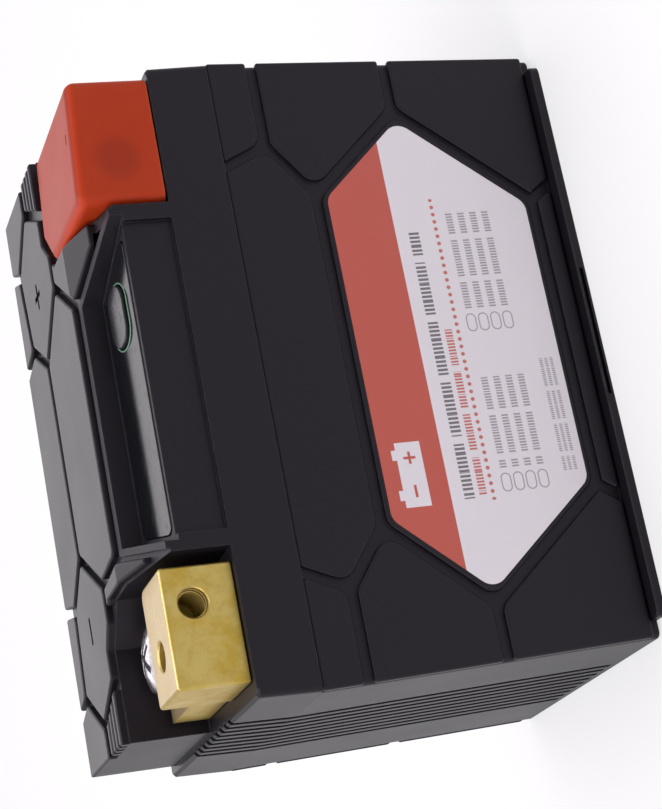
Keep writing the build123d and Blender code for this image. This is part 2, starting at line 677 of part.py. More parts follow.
# ---------------------------------------------------------------- terminals
def terminal_block(s):
    """Brass block: tall front with two M6 threads, low back under the fixing screw."""
    x0, x1 = BLOCK_X, BLOCK_X + BLOCK_W
    step = BLOCK_FRONT_Y + BLOCK_TALL_L
    plan = Pos((x0 + x1) / 2, BLOCK_FRONT_Y + BLOCK_TALL_L / 2) * Rectangle(BLOCK_W, BLOCK_TALL_L)
    inner_back = plan.vertices().filter_by(lambda v: v.X < x0 + 1 and v.Y > step - 1)
    plan = fillet(inner_back, BLOCK_CORNER)
    plan = fillet(plan.vertices().filter_by(lambda v: v.X > x1 - 1 or v.Y < BLOCK_FRONT_Y + 1), BLOCK_EDGE)
    tall = soften_top(upright(plan, BLOCK_Z, BLOCK_Z + BLOCK_TALL_H), Plane.XY, BLOCK_EDGE)
    low_plan = Pos((x0 + x1) / 2, step) * Rectangle(BLOCK_W - 2 * BLOCK_EDGE, 2 * BLOCK_TALL_L + 20)
    low_plan = low_plan & grow(pocket_outline(), -BLOCK_CLEAR)
    low_plan = low_plan & Pos(0, step - BLOCK_CORNER - 1 + DEPTH) * Rectangle(WIDTH, 2 * DEPTH)
    block = tall + upright(low_plan, BLOCK_Z, BLOCK_Z + BLOCK_LOW_H)
    top = BLOCK_Z + BLOCK_TALL_H
    mid_y = BLOCK_FRONT_Y + BLOCK_TALL_L / 2
    block -= rod(TOP_THREAD_X, mid_y, top - TOP_THREAD_DEPTH, top + 1, THREAD_R)
    block -= Pos(TOP_THREAD_X, mid_y, top - THREAD_MOUTH / 2) * Cone(THREAD_R, THREAD_R + THREAD_MOUTH, THREAD_MOUTH)
    front = Plane((FRONT_THREAD_X, BLOCK_FRONT_Y, BLOCK_Z + FRONT_THREAD_UP), x_dir=(1, 0, 0), z_dir=(0, 1, 0))
    block -= front * Pos(0, 0, FRONT_THREAD_DEPTH / 2) * Cylinder(THREAD_R, FRONT_THREAD_DEPTH)
    block -= front * Pos(0, 0, THREAD_MOUTH / 2) * Cone(THREAD_R + THREAD_MOUTH, THREAD_R, THREAD_MOUTH)
    block -= rod(SCREW_X, SCREW_Y, BLOCK_Z - 1, BLOCK_Z + BLOCK_LOW_H + 1, SCREW_R + SCREW_CLEAR)
    return block if s > 0 else mirror(block, about=Plane.YZ)


def terminal_screw(s):
    """Pan-head cross screw that holds the block on its insert."""
    under = BLOCK_Z + BLOCK_LOW_H
    seat = under + WASHER_T
    side = SCREW_HEAD_H - SCREW_HEAD_CROWN
    crown_r = (SCREW_HEAD_R ** 2 + SCREW_HEAD_CROWN ** 2) / (2 * SCREW_HEAD_CROWN)
    head = rod(0, 0, seat, seat + SCREW_HEAD_H, SCREW_HEAD_R)
    head &= Pos(0, 0, seat + SCREW_HEAD_H - crown_r) * Sphere(crown_r)
    head = fillet(head.edges().filter_by(lambda e: abs(e.center().Z - seat - side) < 0.2), 0.5)
    for turn in (0, 90):
        arm = Rot(0, 0, 45 + turn) * Box(CROSS_L, CROSS_W, CROSS_DEPTH * 2)
        head -= Pos(0, 0, seat + SCREW_HEAD_H) * arm
    screw = head + rod(0, 0, under, seat, WASHER_R) + rod(0, 0, under - SCREW_L, seat, SCREW_R)
    return Pos(s * SCREW_X, SCREW_Y, 0) * screw


def thread_insert(s):
    """Brass insert moulded into the pocket floor under the block."""
    body = rod(s * SCREW_X, SCREW_Y, INSERT_Z, INSERT_TOP, INSERT_R)
    return body - rod(s * SCREW_X, SCREW_Y, INSERT_TOP - INSERT_H + INSERT_FLOOR, INSERT_TOP + 1, SCREW_R + INSERT_FIT)


def cap_outline():
    """Footprint of the cap: the pocket less its clearance."""
    trimmed = Pos((POCKET_X + CAP_SIDE_X) / 2, CAP_FRONT_Y + DEPTH / 2) * Rectangle(CAP_SIDE_X - POCKET_X, DEPTH)
    return grow(pocket_outline(), -CAP_CLEAR) & trimmed


def cap_shell(face, corner, z0, z1, edge):
    """Soft-edged block on the cap's footprint whose top falls towards the side."""
    solid = upright(fillet(face.vertices(), corner), z0, HEIGHT)
    slope = extrude(Plane.XZ * outline([
        (POCKET_X, z1), (CAP_SIDE_X, z1 - CAP_FALL), (CAP_SIDE_X + 1, z1 - CAP_FALL),
        (CAP_SIDE_X + 1, HEIGHT + 1), (POCKET_X - 1, HEIGHT + 1), (POCKET_X - 1, z1)]), amount=DEPTH, both=True)
    solid -= slope
    return fillet(solid.faces().sort_by(Axis.Z)[-1].edges(), edge)


def positive_cap():
    """Soft cap over the positive block, open underneath."""
    face = cap_outline()
    outer = cap_shell(face, CAP_CORNER, FLOOR_Z + CAP_CLEAR, HEIGHT, CAP_EDGE)
    inner = cap_shell(grow(face, -CAP_WALL), CAP_CORNER - CAP_WALL, FLOOR_Z, HEIGHT - CAP_WALL, CAP_EDGE - CAP_WALL)
    slot = box(CAP_SLOT_X - CAP_SLOT_L / 2, CAP_SLOT_X + CAP_SLOT_L / 2,
               CAP_SLOT_Y - CAP_SLOT_W / 2, CAP_SLOT_Y + CAP_SLOT_W / 2,
               HEIGHT - CAP_SLOT_DEPTH - CAP_FALL / 2, HEIGHT + 1)
    return outer - inner - slot


# ---------------------------------------------------------------- electronics under the window
def indicator_board():
    """Board that carries the charge lights and the switch."""
    board = box(-INDICATOR_X, INDICATOR_X, INDICATOR_FRONT_Y, INDICATOR_BACK_Y, INDICATOR_Z, INDICATOR_TOP)
    for x, y in standoffs():
        board -= rod(x, y, INDICATOR_Z - 1, INDICATOR_TOP + 1, BOARD_SCREW_R + BOARD_HOLE_FIT)
    return board


def board_screws():
    """Four small screws through the indicator board into the lid."""
    screws = []
    for x, y in standoffs():
        head = rod(x, y, INDICATOR_Z - BOARD_SCREW_HEAD_H, INDICATOR_Z, BOARD_SCREW_HEAD_R)
        screws.append(head + rod(x, y, INDICATOR_Z, INDICATOR_Z + BOARD_SCREW_L, BOARD_SCREW_R))
    return screws


def led_places():
    """Places of the charge lights along the board."""
    return [LED_RIGHT_X - i * LED_PITCH for i in range(LED_COUNT)]


def charge_lights():
    """Row of surface-mounted lights."""
    return [box(x - LED_L / 2, x + LED_L / 2, LED_Y - LED_W / 2, LED_Y + LED_W / 2,
                INDICATOR_TOP, INDICATOR_TOP + LED_H) for x in led_places()]


def light_guides():
    """Clear rods from the lights to the window."""
    upper = tilted(upright(Rectangle(2 * WIDTH, 2 * WIDTH), WINDOW_Z, 2 * HEIGHT))
    return [rod(x, LED_Y, INDICATOR_TOP + LED_H, HEIGHT, GUIDE_R) - upper for x in led_places()]


# ---------------------------------------------------------------- cell stack
def cell_y(i):
    """Middle of a cell across the case."""
    return (i - (CELL_COUNT - 1) / 2) * CELL_PITCH


def cell(i):
    """Pouch cell: soft-cornered body with the sealed flange along its top."""
    y = cell_y(i)
    body = Pos(0, y, STACK_Z + CELL_H / 2) * Box(CELL_L, CELL_T, CELL_H)
    body = fillet(body.edges().filter_by(Axis.Z), CELL_CORNER)
    x, t = SEAL_FLANGE_L / 2, SEAL_FLANGE_T / 2
    return body + box(-x, x, y - t, y + t, STACK_Z + CELL_H - 1, TAB_Z)


def cell_sheets():
    """Thin insulating sheets between neighbouring cells."""
    sheets = []
    for i in range(CELL_COUNT - 1):
        y = cell_y(i) + CELL_PITCH / 2
        sheets.append(box(-CELL_L / 2, CELL_L / 2, y - SHEET_T / 2, y + SHEET_T / 2, STACK_Z, STACK_Z + CELL_H))
    return sheets


def cell_tabs():
    """Two metal tabs standing on each cell."""
    return [box(s * TAB_X - TAB_W / 2, s * TAB_X + TAB_W / 2, cell_y(i) - TAB_T / 2, cell_y(i) + TAB_T / 2,
                TAB_Z, LINK_Z) for i in range(CELL_COUNT) for s in SIDE]


def series_links():
    """Plates that join neighbouring cells in series, on alternate sides."""
    links = []
    for i in range(CELL_COUNT - 1):
        x = TAB_X if i % 2 == 0 else -TAB_X
        links.append(box(x - LINK_W / 2, x + LINK_W / 2, cell_y(i) - LINK_OVER, cell_y(i + 1) + LINK_OVER,
                         LINK_Z, LINK_Z + LINK_T))
    return links


def flat_bar(*rectangles):
    """Flat strip made of joined rectangles (x0, x1, y0, y1) at the height of the links."""
    bar = Part() + [box(*r, LINK_Z, LINK_Z + LINK_T) for r in rectangles]
    return bar


def negative_lead():
    """Strip from the first cell to the insert on the negative side."""
    y = cell_y(0)
    bar = flat_bar((-SCREW_X - LEAD_W / 2, -TAB_X + LINK_W / 2, y - LEAD_W / 2, y + LEAD_W / 2),
                   (-SCREW_X - LEAD_W / 2, -SCREW_X + LEAD_W / 2, *sorted((y, SCREW_Y))))
    return bar + rod(-SCREW_X, SCREW_Y, LINK_Z, LINK_Z + LINK_T, LEAD_END_R)


def positive_lead():
    """Strip from the last cell round the back to the insert on the positive side."""
    y = cell_y(CELL_COUNT - 1)
    half = LEAD_W / 2
    bar = flat_bar((-TAB_X - LINK_W / 2, -TAB_X + LINK_W / 2, y - half, LEAD_BACK_Y + half),
                   (-TAB_X - LINK_W / 2, SCREW_X + half, LEAD_BACK_Y - half, LEAD_BACK_Y + half),
                   (SCREW_X - half, SCREW_X + half, SCREW_Y, LEAD_BACK_Y))
    return bar + rod(SCREW_X, SCREW_Y, LINK_Z, LINK_Z + LINK_T, LEAD_END_R)


def stack_wrap():
    """Tape band round the four cells."""
    z0 = STACK_Z + WRAP_LOW
    outer = box(-CELL_L / 2 - WRAP_T, CELL_L / 2 + WRAP_T, -STACK_Y - WRAP_T, STACK_Y + WRAP_T, z0, z0 + WRAP_H)
    return outer - box(-CELL_L / 2, CELL_L / 2, -STACK_Y, STACK_Y, z0 - 1, z0 + WRAP_H + 1)


def foot_pad():
    """Foam sheet on the floor of the case."""
    x = half_width(0) - CASE_WALL
    return box(-x, x, -CAVITY_Y, CAVITY_Y, CASE_WALL, STACK_Z)


def packing_pad(s):
    """Foam block between the stack and the front (-1) or back (1) wall, recessed for the tape band."""
    x = CELL_L / 2
    y0, y1 = sorted((s * STACK_Y, s * CAVITY_Y))
    pad = box(-x, x, y0, y1, STACK_Z, STACK_Z + CELL_H)
    z0 = STACK_Z + WRAP_LOW
    near, far = sorted((s * STACK_Y, s * (STACK_Y + WRAP_T)))
    return pad - box(-x - 1, x + 1, near, far, z0, z0 + WRAP_H)


def balancer_board():
    """Board that watches and evens out the cells, soldered on the links."""
    return box(-BALANCER_X, BALANCER_X, -BALANCER_Y, BALANCER_Y, BALANCER_Z, BALANCER_TOP)


def on_board(x, y, size):
    """Block component standing on the balancer board."""
    length, width, height = size
    return box(x - length / 2, x + length / 2, y - width / 2, y + width / 2, BALANCER_TOP, BALANCER_TOP + height)


def balance_resistors():
    """Bleed resistors, two for each cell."""
    return [on_board(s * RESISTOR_X, cell_y(i), RESISTOR) for i in range(CELL_COUNT) for s in SIDE]


def balance_chips():
    """One monitor chip for each cell."""
    return [on_board(CHIP_X, CHIP_Y + (i - (CELL_COUNT - 1) / 2) * CHIP_PITCH, CHIP) for i in range(CELL_COUNT)]


def capacitors():
    """Two round capacitors."""
    return [rod(CAPACITOR_X, y, BALANCER_TOP, BALANCER_TOP + CAPACITOR_H, CAPACITOR_R) for y in CAPACITOR_Y]


def header_block():
    """Plastic body of the pin header between the two boards."""
    length = HEADER_PINS * HEADER_PITCH
    return box(-length / 2, length / 2, HEADER_Y - HEADER_PITCH / 2, HEADER_Y + HEADER_PITCH / 2,
               BALANCER_TOP, BALANCER_TOP + HEADER_BLOCK_H)


def header_pins():
    """Pins from the header up to the indicator board."""
    xs = [(i - (HEADER_PINS - 1) / 2) * HEADER_PITCH for i in range(HEADER_PINS)]
    return [box(x - PIN_W / 2, x + PIN_W / 2, HEADER_Y - PIN_W / 2, HEADER_Y + PIN_W / 2,
                BALANCER_TOP + HEADER_BLOCK_H, INDICATOR_Z) for x in xs]


# ---------------------------------------------------------------- write the sub-parts
def main():
    """Build each sub-part and write it to its own file."""
    label = front_label()
    parts = {
        "case": case() - label,
        "lid": lid(),
        "lid_seal": seal_ring(SEAM_Z - SEAL_H, SEAM_Z),
        "front_label": label,
        "indicator_window": indicator_window(),
        "test_button": test_button(),
        "switch_plunger": switch_plunger(),
        "test_switch": test_switch(),
        "negative_terminal": terminal_block(-1),
        "positive_terminal": terminal_block(1),
        "negative_screw": terminal_screw(-1),
        "positive_screw": terminal_screw(1),
        "negative_insert": thread_insert(-1),
        "positive_insert": thread_insert(1),
        "positive_cap": positive_cap(),
        "indicator_board": indicator_board(),
        "board_screws": board_screws(),
        "charge_lights": charge_lights(),
        "light_guides": light_guides(),
        "cell_sheets": cell_sheets(),
        "cell_tabs": cell_tabs(),
        "series_links": series_links(),
        "negative_lead": negative_lead(),
        "positive_lead": positive_lead(),
        "stack_wrap": stack_wrap(),
        "foot_pad": foot_pad(),
        "front_packing": packing_pad(-1),
        "back_packing": packing_pad(1),
        "balancer_board": balancer_board(),
        "balance_resistors": balance_resistors(),
        "balance_chips": balance_chips(),
        "capacitors": capacitors(),
        "header_block": header_block(),
        "header_pins": header_pins(),
    }
    for i in range(CELL_COUNT):
        parts[f"cell_{i + 1}"] = cell(i)
    centre = Pos(0, FOOT_PROUD / 2, 0)           # from the middle of the body to the middle of the footprint
    os.makedirs("parts", exist_ok=True)
    for name, shape in parts.items():
        solids = shape if isinstance(shape, list) else shape.solids()
        placed = [centre * s for item in solids for s in item.solids()]
        export_step(Compound(children=[Solid(s.wrapped) for s in placed]), f"parts/{name}.step")


main()
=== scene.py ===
"""Looks, stage and camera for the motorcycle battery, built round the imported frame."""

import json
import math

import bpy
from mathutils import Matrix, Vector


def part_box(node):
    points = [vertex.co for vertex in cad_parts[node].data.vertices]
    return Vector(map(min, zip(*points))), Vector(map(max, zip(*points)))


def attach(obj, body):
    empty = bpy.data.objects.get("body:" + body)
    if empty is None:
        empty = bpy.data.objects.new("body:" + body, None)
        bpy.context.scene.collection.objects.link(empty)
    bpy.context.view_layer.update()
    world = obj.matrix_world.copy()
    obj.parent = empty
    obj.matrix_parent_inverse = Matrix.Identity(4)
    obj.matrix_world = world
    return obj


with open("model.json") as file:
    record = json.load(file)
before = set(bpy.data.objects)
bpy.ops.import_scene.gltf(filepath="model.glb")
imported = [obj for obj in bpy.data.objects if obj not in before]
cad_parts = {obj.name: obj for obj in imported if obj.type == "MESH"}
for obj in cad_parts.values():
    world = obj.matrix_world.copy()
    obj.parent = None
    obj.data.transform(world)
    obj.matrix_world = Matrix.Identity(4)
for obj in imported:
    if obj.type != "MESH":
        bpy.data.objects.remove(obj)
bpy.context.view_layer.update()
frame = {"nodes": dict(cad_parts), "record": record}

MM = 0.001

# ---------------------------------------------------------------- colours, as seen on a screen
MOULDED_BLACK = (21, 19, 24)
WORN_BLACK = (70, 67, 76)
DUST = (140, 137, 142)
LABEL_WHITE = (233, 229, 232)
LABEL_RED = (194, 84, 68)
LABEL_INK = (74, 68, 78)
LABEL_GREY = (136, 130, 140)
BRASS_CREAM = (168, 153, 126)
BRASS_PALE = (196, 174, 104)
BRASS_YELLOW = (184, 154, 60)
BRASS_BROWN = (146, 116, 62)
ZINC_BRIGHT = (226, 222, 226)
ZINC_DULL = (150, 148, 156)
CAP_RED = (180, 54, 12)
CAP_PALE = (196, 78, 46)
CAP_TOP_SHADE = (134, 34, 10)
CAP_SHADOW = (122, 34, 20)
WINDOW_BLACK = (12, 12, 16)
RING_GREEN = (104, 150, 122)


def linear(rgb):
    """Screen colour as the linear colour that shaders take."""
    parts = [c / 255 for c in rgb]
    return tuple(c / 12.92 if c < 0.04045 else ((c + 0.055) / 1.055) ** 2.4 for c in parts) + (1.0,)


# ---------------------------------------------------------------- shader building
class Value:
    """A number that varies over a surface and takes part in Python sums."""

    def __init__(self, finish, socket):
        self.finish = finish
        self.socket = socket

    def calc(self, operation, *terms):
        return self.finish.node("Math", {"operation": operation}, terms)

    def __add__(self, other):
        return self.calc("ADD", self, other)

    def __sub__(self, other):
        return self.calc("SUBTRACT", self, other)

    def __rsub__(self, other):
        return self.calc("SUBTRACT", other, self)

    def __mul__(self, other):
        return self.calc("MULTIPLY", self, other)

    __radd__ = __add__
    __rmul__ = __mul__

    def size(self):
        """Its distance from zero."""
        return self.calc("ABSOLUTE", self)

    def repeat(self, pitch):
        """Its place within steps of a pitch, from minus half a pitch to plus half."""
        return self.calc("WRAP", self, pitch / 2, -pitch / 2)

    def root(self):
        return self.calc("SQRT", self)

    def least(self, other):
        return self.calc("MINIMUM", self, other)

    def most(self, other):
        return self.calc("MAXIMUM", self, other)

    def over(self, level, soft):
        """0 below a level and 1 above it, with a soft step."""
        return self.finish.node("MapRange", {"interpolation_type": "SMOOTHSTEP"},
                                {"Value": self, "From Min": level - soft / 2, "From Max": level + soft / 2})

    def under(self, level, soft):
        return 1 - self.over(level, soft)


class Finish:
    """One material on the Principled shader.  Positions are in millimetres."""

    def __init__(self, name, **constants):
        self.material = bpy.data.materials.new(name)
        self.material.use_nodes = True
        self.tree = self.material.node_tree
        self.tree.nodes.clear()
        self.shader = self.tree.nodes.new("ShaderNodeBsdfPrincipled")
        output = self.tree.nodes.new("ShaderNodeOutputMaterial")
        self.tree.links.new(self.shader.outputs[0], output.inputs["Surface"])
        for socket, value in constants.items():
            self.shader.inputs[socket.replace("_", " ")].default_value = value
        place = self.node("TexCoord", out="Object")
        self.place = self.node("VectorMath", {"operation": "SCALE"}, {"Vector": place, "Scale": 1 / MM})
        split = self.node("SeparateXYZ", {}, [self.place]).socket.node
        self.x, self.y, self.z = (Value(self, socket) for socket in split.outputs)

    def node(self, kind, settings=None, sockets=None, out=0):
        """Add a node: settings first, then values or links for its sockets."""
        node = self.tree.nodes.new("ShaderNode" + kind)
        for key, value in (settings or {}).items():
            setattr(node, key, value)
        pairs = sockets.items() if isinstance(sockets, dict) else enumerate(sockets or ())
        for key, value in pairs:
            if isinstance(value, Value):
                self.tree.links.new(value.socket, node.inputs[key])
            else:
                node.inputs[key].default_value = value
        return Value(self, node.outputs[out])

    def put(self, **values):
        """Feed the shader's own sockets."""
        for socket, value in values.items():
            self.tree.links.new(value.socket, self.shader.inputs[socket.replace("_", " ")])
        return self

    def mix(self, factor, first, second):
        """Colour between two others."""
        return self.node("Mix", {"data_type": "RGBA"}, {0: factor, 6: first, 7: second}, out=2)

    def noise(self, scale, detail=2.0, roughness=0.5, stretch=None):
        """Cloudy value around 0.5; scale is in features per millimetre."""
        place = self.place
        if stretch:
            place = self.node("VectorMath", {"operation": "MULTIPLY"}, [place, stretch])
        return self.node("TexNoise", {}, {"Vector": place, "Scale": scale,
                                          "Detail": detail, "Roughness": roughness})

    def specks(self, scale, radius):
        """1 inside small round spots scattered one to a cell."""
        distance = self.node("TexVoronoi", {}, {"Vector": self.place, "Scale": scale})
        return distance.under(radius * scale, radius * scale)

    def edges(self, radius):
        """1 along sharp edges and 0 on open surfaces."""
        soft = self.node("Bevel", {"samples": 6}, {"Radius": radius * MM})
        true = self.node("NewGeometry", out="Normal")
        match = self.node("VectorMath", {"operation": "DOT_PRODUCT"}, [soft, true], out="Value")
        return (1 - match).over(0.06, 0.1)

    def facing_up(self):
        """1 on faces that look straight up."""
        true = self.node("NewGeometry", out="Normal")
        return self.node("SeparateXYZ", {}, [true], out="Z").over(0.8, 0.3)

    def rounded_normal(self, radius):
        """Normal that rounds sharp edges."""
        return self.node("Bevel", {"samples": 6}, {"Radius": radius * MM})

    def bump(self, height, depth, normal=None):
        """Normal for a height from 0 to 1, with the depth in millimetres."""
        sockets = {"Height": height, "Distance": depth * MM, "Strength": 1.0}
        if normal:
            sockets["Normal"] = normal
        return self.node("Bump", {}, sockets)


# ---------------------------------------------------------------- finishes
def moulded_black(name="moulded_black", base=MOULDED_BLACK, worn=WORN_BLACK, rough=0.43):
    """Satin moulded plastic with a fine spark grain, rubbed edges and a little dust."""
    f = Finish(name, Specular_IOR_Level=0.26, Specular_Tint=(0.97, 0.91, 1.0, 1.0))
    grain = f.noise(7.0, 3.0, 0.6)
    broad = f.noise(0.045, 3.0, 0.55)
    rub = f.noise(0.5, 5.0, 0.7)
    wear = f.edges(0.45) * rub.over(0.52, 0.3)
    colour = f.mix(broad.over(0.5, 0.5) * 0.5 + grain * 0.2, linear(base), linear([c * 1.18 for c in base]))
    colour = f.mix(wear * 0.5, colour, linear(worn))
    colour = f.mix(f.specks(0.22, 0.07) * 0.35, colour, linear(DUST))
    roughness = broad * 0.10 + grain * 0.05 + wear * 0.08 + (rough - 0.08)
    height = grain * 0.7 + f.noise(0.9, 2.0) * 0.3
    return f.put(Base_Color=colour, Roughness=roughness, Normal=f.bump(height, 0.014, f.rounded_normal(0.25)))


def cast_brass():
    """Extruded and sawn brass: fine scratches, yellow tarnish in patches, brighter edges, and a painted
    highlight that turns the upward faces cream.
    """
    f = Finish("mottled_brass")
    patch = f.noise(0.22, 6.0, 0.68)
    stain = f.noise(0.55, 5.0, 0.7)
    scratch = f.noise(1.2, 4.0, 0.65, (1.0, 3.0, 14.0))
    pits = f.specks(0.9, 0.12)
    bright = f.edges(0.35)
    colour = f.mix(patch.over(0.5, 0.3) * 0.8, linear(BRASS_PALE), linear(BRASS_YELLOW))
    colour = f.mix(stain.over(0.62, 0.2) * 0.3 + pits * 0.2, colour, linear(BRASS_BROWN))
    # painted highlight: faces that look up are mixed toward cream
    colour = f.mix(f.facing_up() * 0.75, colour, linear(BRASS_CREAM))
    colour = f.mix(bright * 0.5, colour, linear(BRASS_CREAM))
    roughness = patch * 0.16 + stain * 0.14 + scratch * 0.12 + 0.24 - bright * 0.06
    height = scratch * 0.6 + patch * 0.9 - pits * 0.5
    return f.put(Base_Color=colour, Roughness=roughness, Metallic=1 - stain.over(0.66, 0.1) * 0.25,
                 Normal=f.bump(height, 0.03, f.rounded_normal(0.2)))


def plated(name="zinc_plate", bright=ZINC_BRIGHT, dull=ZINC_DULL, rough=0.22):
    """Bright plated steel with a light haze and turning marks."""
    f = Finish(name)
    haze = f.noise(0.9, 4.0, 0.6)
    marks = f.noise(2.6, 2.0, 0.6, (1.0, 1.0, 6.0))
    colour = f.mix(haze.over(0.55, 0.3) * 0.6, linear(bright), linear(dull))
    return f.put(Base_Color=colour, Roughness=haze * 0.16 + marks * 0.08 + (rough - 0.1),
                 Metallic=1 - haze.over(0.7, 0.1) * 0.2, Normal=f.bump(marks, 0.008, f.rounded_normal(0.15)))


def soft_red():
    """Soft vinyl of the protective cap, with faint painted shade where the bore of the block shows through, a
    painted highlight along its edges and painted shade on its upward faces.
    """
    f = Finish("soft_red_vinyl", Specular_IOR_Level=0.22, Subsurface_Weight=0.12,
               Subsurface_Radius=(0.004, 0.001, 0.0005), Subsurface_Scale=0.5)
    low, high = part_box("positive_terminal")
    bore_x, bore_z = low.x / MM + 6.6, low.z / MM + 7.4
    cloud = f.noise(0.06, 3.0, 0.6)
    grain = f.noise(5.0, 3.0, 0.6)
    # painted highlight along the edges, plus paler clouds of random tone in the vinyl
    edge_highlight_and_tone = f.edges(1.0) * 0.35 + cloud.over(0.55, 0.4) * 0.25
    across, up = f.x - bore_x, f.z - bore_z
    # painted shade: a soft dark spot on the cap's front where the bore lies behind it
    painted_bore_shade = (across * across + up * up).under(14.0, 26.0) * f.y.under(low.y / MM - 0.8, 1.0)
    colour = f.mix(edge_highlight_and_tone, linear(CAP_RED), linear(CAP_PALE))
    colour = f.mix(painted_bore_shade * 0.38, colour, linear(CAP_SHADOW))
    # painted shade: faces that look up are darkened toward a deeper red
    colour = f.mix(f.facing_up() * 0.8, colour, linear(CAP_TOP_SHADE))
    return f.put(Base_Color=colour, Roughness=cloud * 0.14 + grain * 0.06 + 0.42,
                 Normal=f.bump(grain * 0.5 + cloud * 6.0, 0.012))


def label_print():
    """Printed film: red band, battery sign, dotted line, rules and bulleted rows."""
    f = Finish("printed_label_film", Coat_Roughness=0.2)
    x, z = f.x, f.z
    line = 0.12

    def bar(x0, x1, z0, z1):
        """1 inside an upright rectangle."""
        inside_x = x.over(x0, line) * x.under(x1, line)
        return inside_x * (z.over(z0, line) * z.under(z1, line))

    def oval(across, up, half_length, half_height):
        """Signed distance, in millimetres, from the outline of a level slot shape."""
        ends = (across.size() - (half_length - half_height)).most(0.0)
        return (ends * ends + up * up).root() - half_height

    band = z.over(33.0, line)
    sign_x, sign_z = x + 22.2, z - 39.0
    body = sign_x.size().under(5.8, line) * sign_z.size().under(2.3, line)
    posts = (sign_x.size() - 3.6).size().under(0.9, line) * (sign_z - 2.6).size().under(0.5, line)
    minus = (sign_x.size() - 3.0).size().under(1.1, line) * sign_z.size().under(0.24, line)
    plus = (sign_x - 3.0).size().under(0.24, line) * sign_z.size().under(1.1, line)
    sign = body.most(posts) * (1 - minus.most(plus))

    def greeked(pitch, word, gap):
        """1 on a row of even upright strokes in place of print, with gaps."""
        strokes = (x + (x * 0.37).repeat(1.3)).repeat(pitch).size().under(pitch * 0.3, line * 0.7)
        return strokes * x.repeat(word).size().under(word / 2 - gap, line)

    title = bar(-28.8, 22.3, 28.7, 30.6) * greeked(1.05, 11.3, 0.7)
    thin_red = bar(-27.7, 4.4, 26.4, 27.8) * greeked(0.8, 7.9, 0.6)
    along, dot_z = x.repeat(1.4), z - 25.3
    dot = (along * along + dot_z * dot_z).root()
    dots = dot.under(0.36, line) * x.size().under(28.2, line)

    row = (z - 20.1).repeat(2.3)
    in_rows = (z - 18.95).size().under(4.5, line)
    rules = row.size().under(0.62, line) * greeked(0.72, 8.3, 0.5)
    left = rules * x.over(-22.8, line) * x.under(-6.0, line)
    right = rules * x.over(6.8, line) * x.under(25.4, line)
    bullet_at = (x + 10.5).size() - 14.8
    bullet = oval(bullet_at, row, 1.6, 0.85).size().under(0.11, line)
    rows = in_rows * (left + right + bullet * (x + 10.5).size().under(17.0, line)).least(1.0)
    small_rows = (z - 9.1).repeat(1.0).size().under(0.3, line)
    small = bar(-24.4, -3.0, 8.6, 11.6) * small_rows * greeked(0.5, 6.1, 0.4)

    stock = f.noise(0.2, 3.0)
    colour = f.mix(stock * 0.25, linear(LABEL_WHITE), linear([c * 0.96 for c in LABEL_WHITE]))
    colour = f.mix(band * (1 - sign), colour, linear(LABEL_RED))
    colour = f.mix(title * 0.85, colour, linear(LABEL_INK))
    colour = f.mix((dots.most(thin_red)) * 0.9, colour, linear(LABEL_RED))
    colour = f.mix(rows.most(small) * 0.8, colour, linear(LABEL_GREY))
    return f.put(Base_Color=colour, Roughness=stock * 0.1 + 0.32, Coat_Weight=stock * 0.1 + 0.1,
                 Normal=f.bump(f.noise(3.0, 2.0), 0.003))


def gloss_black(name, base=WINDOW_BLACK, rough=0.14):
    """Polished dark acrylic with hairline scratches."""
    f = Finish(name, Specular_IOR_Level=0.3, Coat_Roughness=0.12)
    hair = f.noise(3.0, 2.0, 0.5, (0.2, 1.0, 1.0))
    broad = f.noise(0.08, 2.0)
    colour = f.mix(broad * 0.4, linear(base), linear([c * 1.5 for c in base]))
    return f.put(Base_Color=colour, Roughness=hair.over(0.62, 0.1) * 0.1 + broad * 0.04 + rough - 0.02,
                 Coat_Weight=0.1 - hair.over(0.66, 0.1) * 0.05, Normal=f.bump(broad, 0.02))


def plain(name, base, rough, metallic=0.0, grain=1.0, depth=0.02, contrast=0.82, **constants):
    """Even finish with its own grain and a little variation in colour."""
    f = Finish(name, Metallic=metallic, **constants)
    cloud = f.noise(0.15 * grain, 4.0, 0.6)
    fine = f.noise(3.0 * grain, 3.0, 0.6)
    colour = f.mix(cloud * 0.7 + fine * 0.3, linear([c * contrast for c in base]), linear(base))
    return f.put(Base_Color=colour, Roughness=cloud * 0.12 + fine * 0.08 + (rough - 0.1),
                 Normal=f.bump(fine, depth))


black = moulded_black()
brass = cast_brass()
zinc = plated()
FINISHES = {
    "black_plastic": black,
    "label_film": label_print(),
    "window_gloss": gloss_black("smoked_window"),
    "button_gloss": gloss_black("button_gloss", (24, 24, 28), 0.2),
    "switch_plastic": plain("switch_plastic", (40, 40, 42), 0.5),
    "brass": brass,
    "plated_steel": zinc,
    "soft_red": soft_red(),
    "board_green": plain("solder_resist_green", (30, 92, 58), 0.35),
    "light_white": plain("light_lens_white", (236, 232, 214), 0.3),
    "clear_rod": plain("clear_acrylic", (226, 232, 234), 0.12, Transmission_Weight=0.8),
    "pouch_foil": plain("pouch_foil", (196, 198, 204), 0.3, 0.85, grain=0.6, depth=0.06),
    "nickel": plain("nickel_strip", (206, 200, 188), 0.28, 1.0),
    "copper": plain("copper_strip", (214, 134, 96), 0.3, 1.0),
    "film_sheet": plain("insulating_sheet", (228, 222, 204), 0.5),
    "tape": plain("amber_tape", (196, 138, 44), 0.35),
    "foam": plain("grey_foam", (92, 92, 96), 0.9, grain=2.0, depth=0.2),
    "seal_rubber": plain("seal_rubber", (38, 38, 40), 0.7),
    "chip_black": plain("chip_black", (34, 34, 36), 0.55),
    "resistor_dark": plain("resistor_dark", (48, 46, 50), 0.45),
    "can_metal": plain("can_metal", (188, 190, 196), 0.3, 1.0),
}

for part in frame["record"]["subparts"]:
    slots = frame["nodes"][part["node"]].data.materials
    slots.clear()
    slots.append(FINISHES[part["material_slot"]].material)


